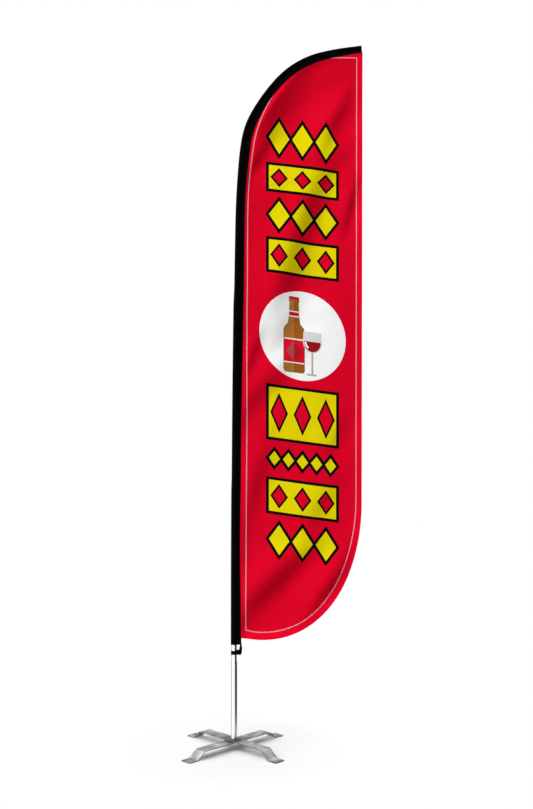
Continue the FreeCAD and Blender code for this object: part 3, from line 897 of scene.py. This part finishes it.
def cloth_sleeve(material):
    """Pole pocket: one strip of cloth folded round the pole and sewn to both faces of the panel."""
    verts = []
    stations = np.arange(SLEEVE_LOW[2], SLEEVE_END - 0.006, 0.008).tolist()
    for s in stations + [SLEEVE_END - short for short in (0.0045, 0.0035, 0.002, 0.001, 0.0)]:
        half = sleeve_section(s)
        ring = [(d, -y) for d, y in half[:0:-1]] + half
        for d, y in ring:
            crease = noise.noise(Vector((s * 16, d * 60, 3.0 if y > 0 else 7.0)))
            ripple = noise.noise(Vector((s * 55, 0.0, 1.0 if y > 0 else 5.0)))
            loose = min(1.0, max(0.0, (d + 0.004) / 0.02)) * min(1.0, (half[-1][0] - d) / 0.01)
            puff = (crease * 0.0016 + ripple * 0.0007) * loose
            out = max(abs(y) * closing(s) + puff, min(abs(y), LEAST_GAP))
            x, z, _ = place(POLE, s, d)
            verts.append((x, out if y > 0 else -out, z))
    piece = new_piece("sleeve_cloth", verts, grid_faces(len(verts), len(ring)), [material])
    thicken(piece, SLEEVE_CLOTH)
    return piece


def seam_stitching(material):
    """Two rows of lock stitch along the sleeve's seam, on both faces."""
    stitches = []
    step = 0.004
    for face in (-1, 1):
        out = Vector((0, face, 0))
        for inset in (0.0025, 0.0085):
            s = SLEEVE_LOW[2] + 0.002
            while s + step < SLEEVE_TOP - 0.004:
                ends = []
                for station in (s + 0.0002, s + step - 0.0006):
                    x, z, _ = place(POLE, station, seam_reach(station) - inset)
                    ends.append(Vector((x, face * 0.0016, z)))
                stitches.append((*ends, out))
                s += step
    return stitch_mesh("seam_stitching", stitches, material, 0.0008, 0.0005)


# --- straps ---
def ribbon(name, centres, normals, widths, thick, material, bow=0.0):
    """Webbing along centres; each row lies across, between its normal and the direction of run."""
    verts, across_points = [], 7
    for k, (centre, normal, wide) in enumerate(zip(centres, normals, widths)):
        ahead = centres[min(k + 1, len(centres) - 1)] - centres[max(k - 1, 0)]
        across = ahead.cross(normal).normalized()
        for j in range(across_points):
            t = j / (across_points - 1) - 0.5
            verts.append(centre + across * (t * wide) + normal * (bow * (0.25 - t * t) * 4))
    piece = new_piece(name, verts, grid_faces(len(verts), across_points), [material])
    thicken(piece, thick)
    rounded = piece.modifiers.new("round", "BEVEL")
    rounded.width = thick * 0.3
    rounded.segments = 2
    rounded.angle_limit = math.radians(50)
    return piece


def tie_band(material):
    """Loop of webbing round the tube, pinched together at its right."""
    r = TUBE_HIGH[1] + 0.0016          # the webbing's middle, just clear of the tube
    pinch = BAND_HIGH[0] - 0.005
    small = 0.0016                     # radius of the fold at the pinch
    lean = math.acos((r - small) / pinch)
    middle = (BAND_LOW[2] + BAND_HIGH[2]) / 2 + 0.0025
    high = BAND_HIGH[2] - BAND_LOW[2]
    centres, normals, widths = [], [], []

    def add(x, y, nx, ny, t):
        sway = 0.0018 * math.cos(2 * math.pi * t) + 0.0006 * math.cos(6 * math.pi * t)
        centres.append(Vector((x, y, middle + sway)))
        normals.append(Vector((nx, ny, 0)))
        widths.append(high * (0.94 + 0.09 * math.cos(4 * math.pi * t)))

    turns = 48
    for k in range(turns + 1):
        a = lean + (2 * math.pi - 2 * lean) * k / turns
        add(r * math.cos(a), r * math.sin(a), math.cos(a), math.sin(a), 0.15 + 0.7 * k / turns)
    a = -lean
    start = Vector((r * math.cos(a), r * math.sin(a)))
    stop = Vector((pinch + small * math.cos(a), small * math.sin(a)))
    for k in range(1, 9):
        p = start.lerp(stop, k / 8)
        add(p.x, p.y, math.cos(a), math.sin(a), 0.85 + 0.08 * k / 8)
    for k in range(1, 8):
        b = a + (2 * lean) * k / 8
        add(pinch + small * math.cos(b), small * math.sin(b), math.cos(b), math.sin(b), 0.93)
    for k in range(9):
        p = Vector((stop.x, -stop.y)).lerp(Vector((start.x, -start.y)), k / 8)
        add(p.x, p.y, math.cos(-a), math.sin(-a), 0.07 + 0.08 * k / 8)
    return ribbon("tie_band_webbing", centres, normals, widths, 0.0015, material)


def tie_strap(material):
    """Short webbing from the sleeve's lower corner down to the band."""
    top, foot = SLEEVE_LOW[2] + 0.030, BAND_LOW[2] + 0.0015
    rows = 30
    centres, normals, widths = [], [], []
    for k in range(rows):
        t = k / (rows - 1)
        x = blend_table(t, [(0.0, 0.0345), (0.45, 0.0395), (0.75, 0.0382), (1.0, 0.0350)])
        lift = blend_table(t, [(0.0, 0.0030), (0.6, 0.0050), (1.0, 0.0042)])
        centres.append(Vector((x, -lift, top + (foot - top) * t)))
        normals.append(Vector((0.1, -1, 0)).normalized())
        widths.append(blend_table(t, [(0.0, 0.0105), (0.35, 0.0110), (0.62, 0.0172), (0.88, 0.0165),
                                      (1.0, 0.0110)]))
    return ribbon("tie_strap_webbing", centres, normals, widths, 0.0018, material, bow=0.0012)


def tip_patch(material):
    """Webbing folded over the closed end of the sleeve, bulging round the pole's cap."""
    deep, proud, across_points = 0.026, 0.0015, 17
    left, right = -pocket_radius(SLEEVE_TOP) - 0.001, seam_reach(SLEEVE_TOP) - 0.001
    front = [(SLEEVE_END - deep + deep * k / 16, -1) for k in range(17)]
    verts = []
    for s, face in front + [(SLEEVE_END + 0.0025, 0)] + [(s, 1) for s, _ in front[::-1]]:
        for j in range(across_points):
            d = left + (right - left) * j / (across_points - 1)
            x, z, _ = place(POLE, s, d)
            verts.append((x, face * (sleeve_half(s, d) + proud), z))
    piece = new_piece("tip_patch_webbing", verts, grid_faces(len(verts), across_points), [material])
    thicken(piece, 0.0012)
    return piece


# --- build ---
def repaint(material, *names):
    """Gives CAD nodes a finished material."""
    for name in names:
        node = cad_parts[name]
        if not node.material_slots:
            node.data.materials.append(material)
        for slot in node.material_slots:
            slot.material = material


repaint(bar_material("bar_steel_a", math.radians(-45)), "lower_cross_bar")
repaint(bar_material("bar_steel_b", math.radians(45)), "upper_cross_bar")
repaint(painted_material("hub_paint", (0.045, 0.045, 0.044)), "hub_disc")
repaint(brushed_material("plated_fastener", (0.42, 0.42, 0.40), (0.66, 0.66, 0.63), 0.0, (0.2, 0.4)),
        "spindle_axle", "flat_washer", "spring_washer", "axle_nut", "tip_ferrule")
repaint(drawn_tube_material("bearing_steel", (0.62, 0.62, 0.63), (0.08, 0.2)),
        "lower_bearing_inner_ring", "lower_bearing_outer_ring", "lower_bearing_balls",
        "upper_bearing_inner_ring", "upper_bearing_outer_ring", "upper_bearing_balls", "circlip")
repaint(brushed_material("turned_steel", (0.38, 0.38, 0.38), (0.6, 0.6, 0.6), 0.0, (0.25, 0.4)),
        "rotor_sleeve", "bearing_spacer")
repaint(moulded_material("black_plastic", (0.02, 0.02, 0.02)), "rotor_cap", "reducer_bush")
repaint(moulded_material("nylon", (0.72, 0.70, 0.64), 0.4), "pivot_washer")
repaint(moulded_material("seal_rubber", (0.015, 0.015, 0.015), 0.6), "o_rings", "tip_cap")
repaint(drawn_tube_material("pole_metal", (0.90, 0.90, 0.91), (0.2, 0.3)),
        "bottom_tube", "lower_tube", "middle_tube")
repaint(moulded_material("fibreglass", (0.035, 0.035, 0.035), 0.25, 300.0), "upper_tube", "tip_rod")

print_materials = [cloth_material("print_" + name, color) for name, color in PRINT_COLOURS.items()]
sleeve_material = cloth_material("sleeve_cloth", (0.0016, 0.0016, 0.0018), 0.0014, 0.8)
black_webbing = webbing_material("black_webbing", (0.0018, 0.0018, 0.002))
white_thread = webbing_material("white_thread", (0.98, 0.90, 0.93), 0.0008)
black_thread = webbing_material("black_thread", (0.012, 0.012, 0.013), 0.0008)

SETTLED = settle()
panel, turned_hem = flag_panel(print_materials)
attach(panel, "pole")
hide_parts("flag_panel")
hem_thread = hem_stitching(white_thread, (panel, turned_hem))
for piece in (turned_hem, hem_thread):
    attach(piece, "pole")

sleeve = cloth_sleeve(sleeve_material)
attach(sleeve, "pole")
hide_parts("sleeve")
seams = seam_stitching(black_thread)
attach(seams, "pole")

for piece, node in ((tie_band(black_webbing), "tie_band"), (tie_strap(black_webbing), "tie_strap"),
                    (tip_patch(black_webbing), "tip_patch")):
    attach(piece, "pole")
    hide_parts(node)


# --- floor, light and camera ---
def floor():
    """Round pale floor that fades out round the base, as in a cut-out studio picture."""
    rings, spokes, size = 8, 96, 0.70
    verts, faces = [(0, 0, 0)], []
    for ring in range(1, rings + 1):
        r = size * ring / rings
        verts += [(x, y, 0) for x, y in arc_points(0, 0, r, r, 0, 360, spokes)[:-1]]
    for k in range(spokes):
        n = (k + 1) % spokes
        faces.append((0, 1 + k, 1 + n))
        for low in range(1, 1 + (rings - 1) * spokes, spokes):
            faces.append((low + k, low + spokes + k, low + spokes + n, low + n))
    material, nodes, links, shader = new_material("floor")
    patchy = noise_node(nodes, links, plain(nodes, links), 0.8)
    paint(nodes, links, shader, patchy, (0.69, 0.69, 0.69), (0.72, 0.72, 0.72))
    links.new(ramp(nodes, links, from_origin(nodes, links), 0.22, 0.66, 1, 0), shader.inputs["Alpha"])
    shader.inputs["Roughness"].default_value = 0.9
    shader.inputs["Specular IOR Level"].default_value = 0.1
    new_piece("floor", verts, faces, [material])


def sun(name, strength, azimuth, elevation, spread):
    """Sun at an azimuth (0 behind the viewer, 90 to the right) and elevation, spread degrees wide."""
    light = bpy.data.lights.new(name, "SUN")
    light.energy = strength
    light.angle = math.radians(spread)
    lamp = bpy.data.objects.new(name, light)
    a, e = math.radians(azimuth), math.radians(elevation)
    toward = Vector((math.sin(a) * math.cos(e), -math.cos(a) * math.cos(e), math.sin(e)))
    lamp.rotation_euler = toward.to_track_quat("Z", "Y").to_euler()
    bpy.context.scene.collection.objects.link(lamp)


def studio_world():
    """Pale surroundings, dim on the right and before the flag, with a bright low strip at the front
    left for the tube to mirror; plain white where seen directly."""
    world = bpy.data.worlds.new("studio")
    bpy.context.scene.world = world
    world.use_nodes = True
    nodes, links = world.node_tree.nodes, world.node_tree.links
    soft = nodes["Background"]
    coords = nodes.new("ShaderNodeTexCoord")
    split = nodes.new("ShaderNodeSeparateXYZ")
    links.new(coords.outputs["Generated"], split.inputs["Vector"])
    x, y, z = (split.outputs[axis] for axis in "XYZ")
    around = combine(nodes, links, "MULTIPLY", ramp(nodes, links, y, -0.3, 0.4, 0.13, 0.44),
                     ramp(nodes, links, x, 0.45, 0.75, 1.0, 0.08))
    low_strip = combine(nodes, links, "MULTIPLY", ramp(nodes, links, z, -0.50, -0.36, 0, 1),
                        ramp(nodes, links, z, -0.10, 0.0, 1, 0))
    before = combine(nodes, links, "MULTIPLY", ramp(nodes, links, x, 0.35, 0.60, 1, 0),
                     ramp(nodes, links, y, -0.15, 0.1, 1, 0))
    strip = combine(nodes, links, "MULTIPLY", low_strip, before)
    bright = combine(nodes, links, "ADD", around, strip)
    links.new(tint(nodes, links, bright, (0, 0, 0), (1.25, 1.25, 1.25)), soft.inputs["Color"])
    white = nodes.new("ShaderNodeBackground")
    path = nodes.new("ShaderNodeLightPath")
    mix = nodes.new("ShaderNodeMixShader")
    links.new(path.outputs["Is Camera Ray"], mix.inputs["Fac"])
    links.new(soft.outputs["Background"], mix.inputs[1])
    links.new(white.outputs["Background"], mix.inputs[2])
    white.inputs["Color"].default_value = (1, 1, 1, 1)
    links.new(mix.outputs["Shader"], nodes["World Output"].inputs["Surface"])


floor()
studio_world()
sun("key", 3.50, -58, 36, 80)
sun("top", 1.4, 0, 88, 90)
bpy.context.scene.view_settings.view_transform = "Standard"

VIEW_HIGH, VIEW_AWAY = 4.741, 6.6  # height of the picture at the pole, and the camera's distance
camera = bpy.data.objects.new("camera", bpy.data.cameras.new("camera"))
camera.data.sensor_width = 36.0
camera.data.lens = 36.0 * VIEW_AWAY / VIEW_HIGH
camera.location = (0.190, -VIEW_AWAY, 2.013)
camera.rotation_euler = (math.radians(90), 0, 0)
bpy.context.scene.collection.objects.link(camera)
bpy.context.scene.camera = camera

bpy.context.view_layer.update()
